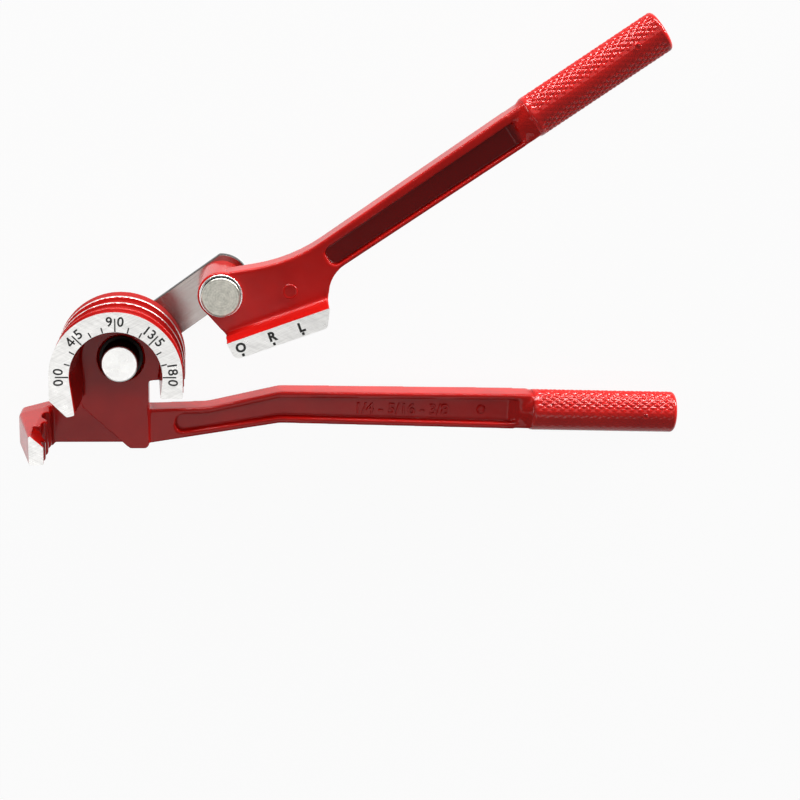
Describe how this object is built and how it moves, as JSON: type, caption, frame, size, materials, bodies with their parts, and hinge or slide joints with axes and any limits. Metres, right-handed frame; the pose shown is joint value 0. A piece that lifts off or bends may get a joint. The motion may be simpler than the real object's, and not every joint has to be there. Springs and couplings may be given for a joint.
{
  "type": "hand tube bender",
  "caption": "Hand tube bender with a grooved half-round former and hook on a fixed arm, a swinging link and a shoe lever with a grooved block, both arms ending in round grips.",
  "frame": {"origin": "on the centre pin's axis, at the back face of its tail and collar, which is the plane that the tool lies on", "axes": "+Z along the centre pin towards the ground scale face, +X along the fixed arm towards its grip, +Y from the fixed arm towards the shoe lever at rest"},
  "size_m": [0.2548, 0.1679, 0.044],
  "materials": {
    "red_paint": "gloss red paint on cast aluminium, with ground bare faces",
    "link_steel": "satin rolled plate",
    "pin_steel": "turned and zinc plated"
  },
  "bodies": {
    "body": {"former_body": "red_paint"},
    "link": {"link_plate": "link_steel", "center_pin": "pin_steel", "center_washer": "pin_steel", "center_collar": "pin_steel", "pivot_pin": "pin_steel", "pivot_washer": "pin_steel", "pivot_collar": "pin_steel"},
    "lever": {"shoe_lever": "red_paint"}
  },
  "joints": [
    {"name": "link_swing", "type": "hinge", "parent": "body", "child": "link", "pos_m": [0, 0, 0.0105], "axis": [0, 0, 1], "range_deg": [-35, 145]},
    {"name": "lever_swing", "type": "hinge", "parent": "link", "child": "lever", "pos_m": [0.03775, 0.02769, 0.018], "axis": [0, 0, 1], "range_deg": [-74.8, 80]}
  ]
}
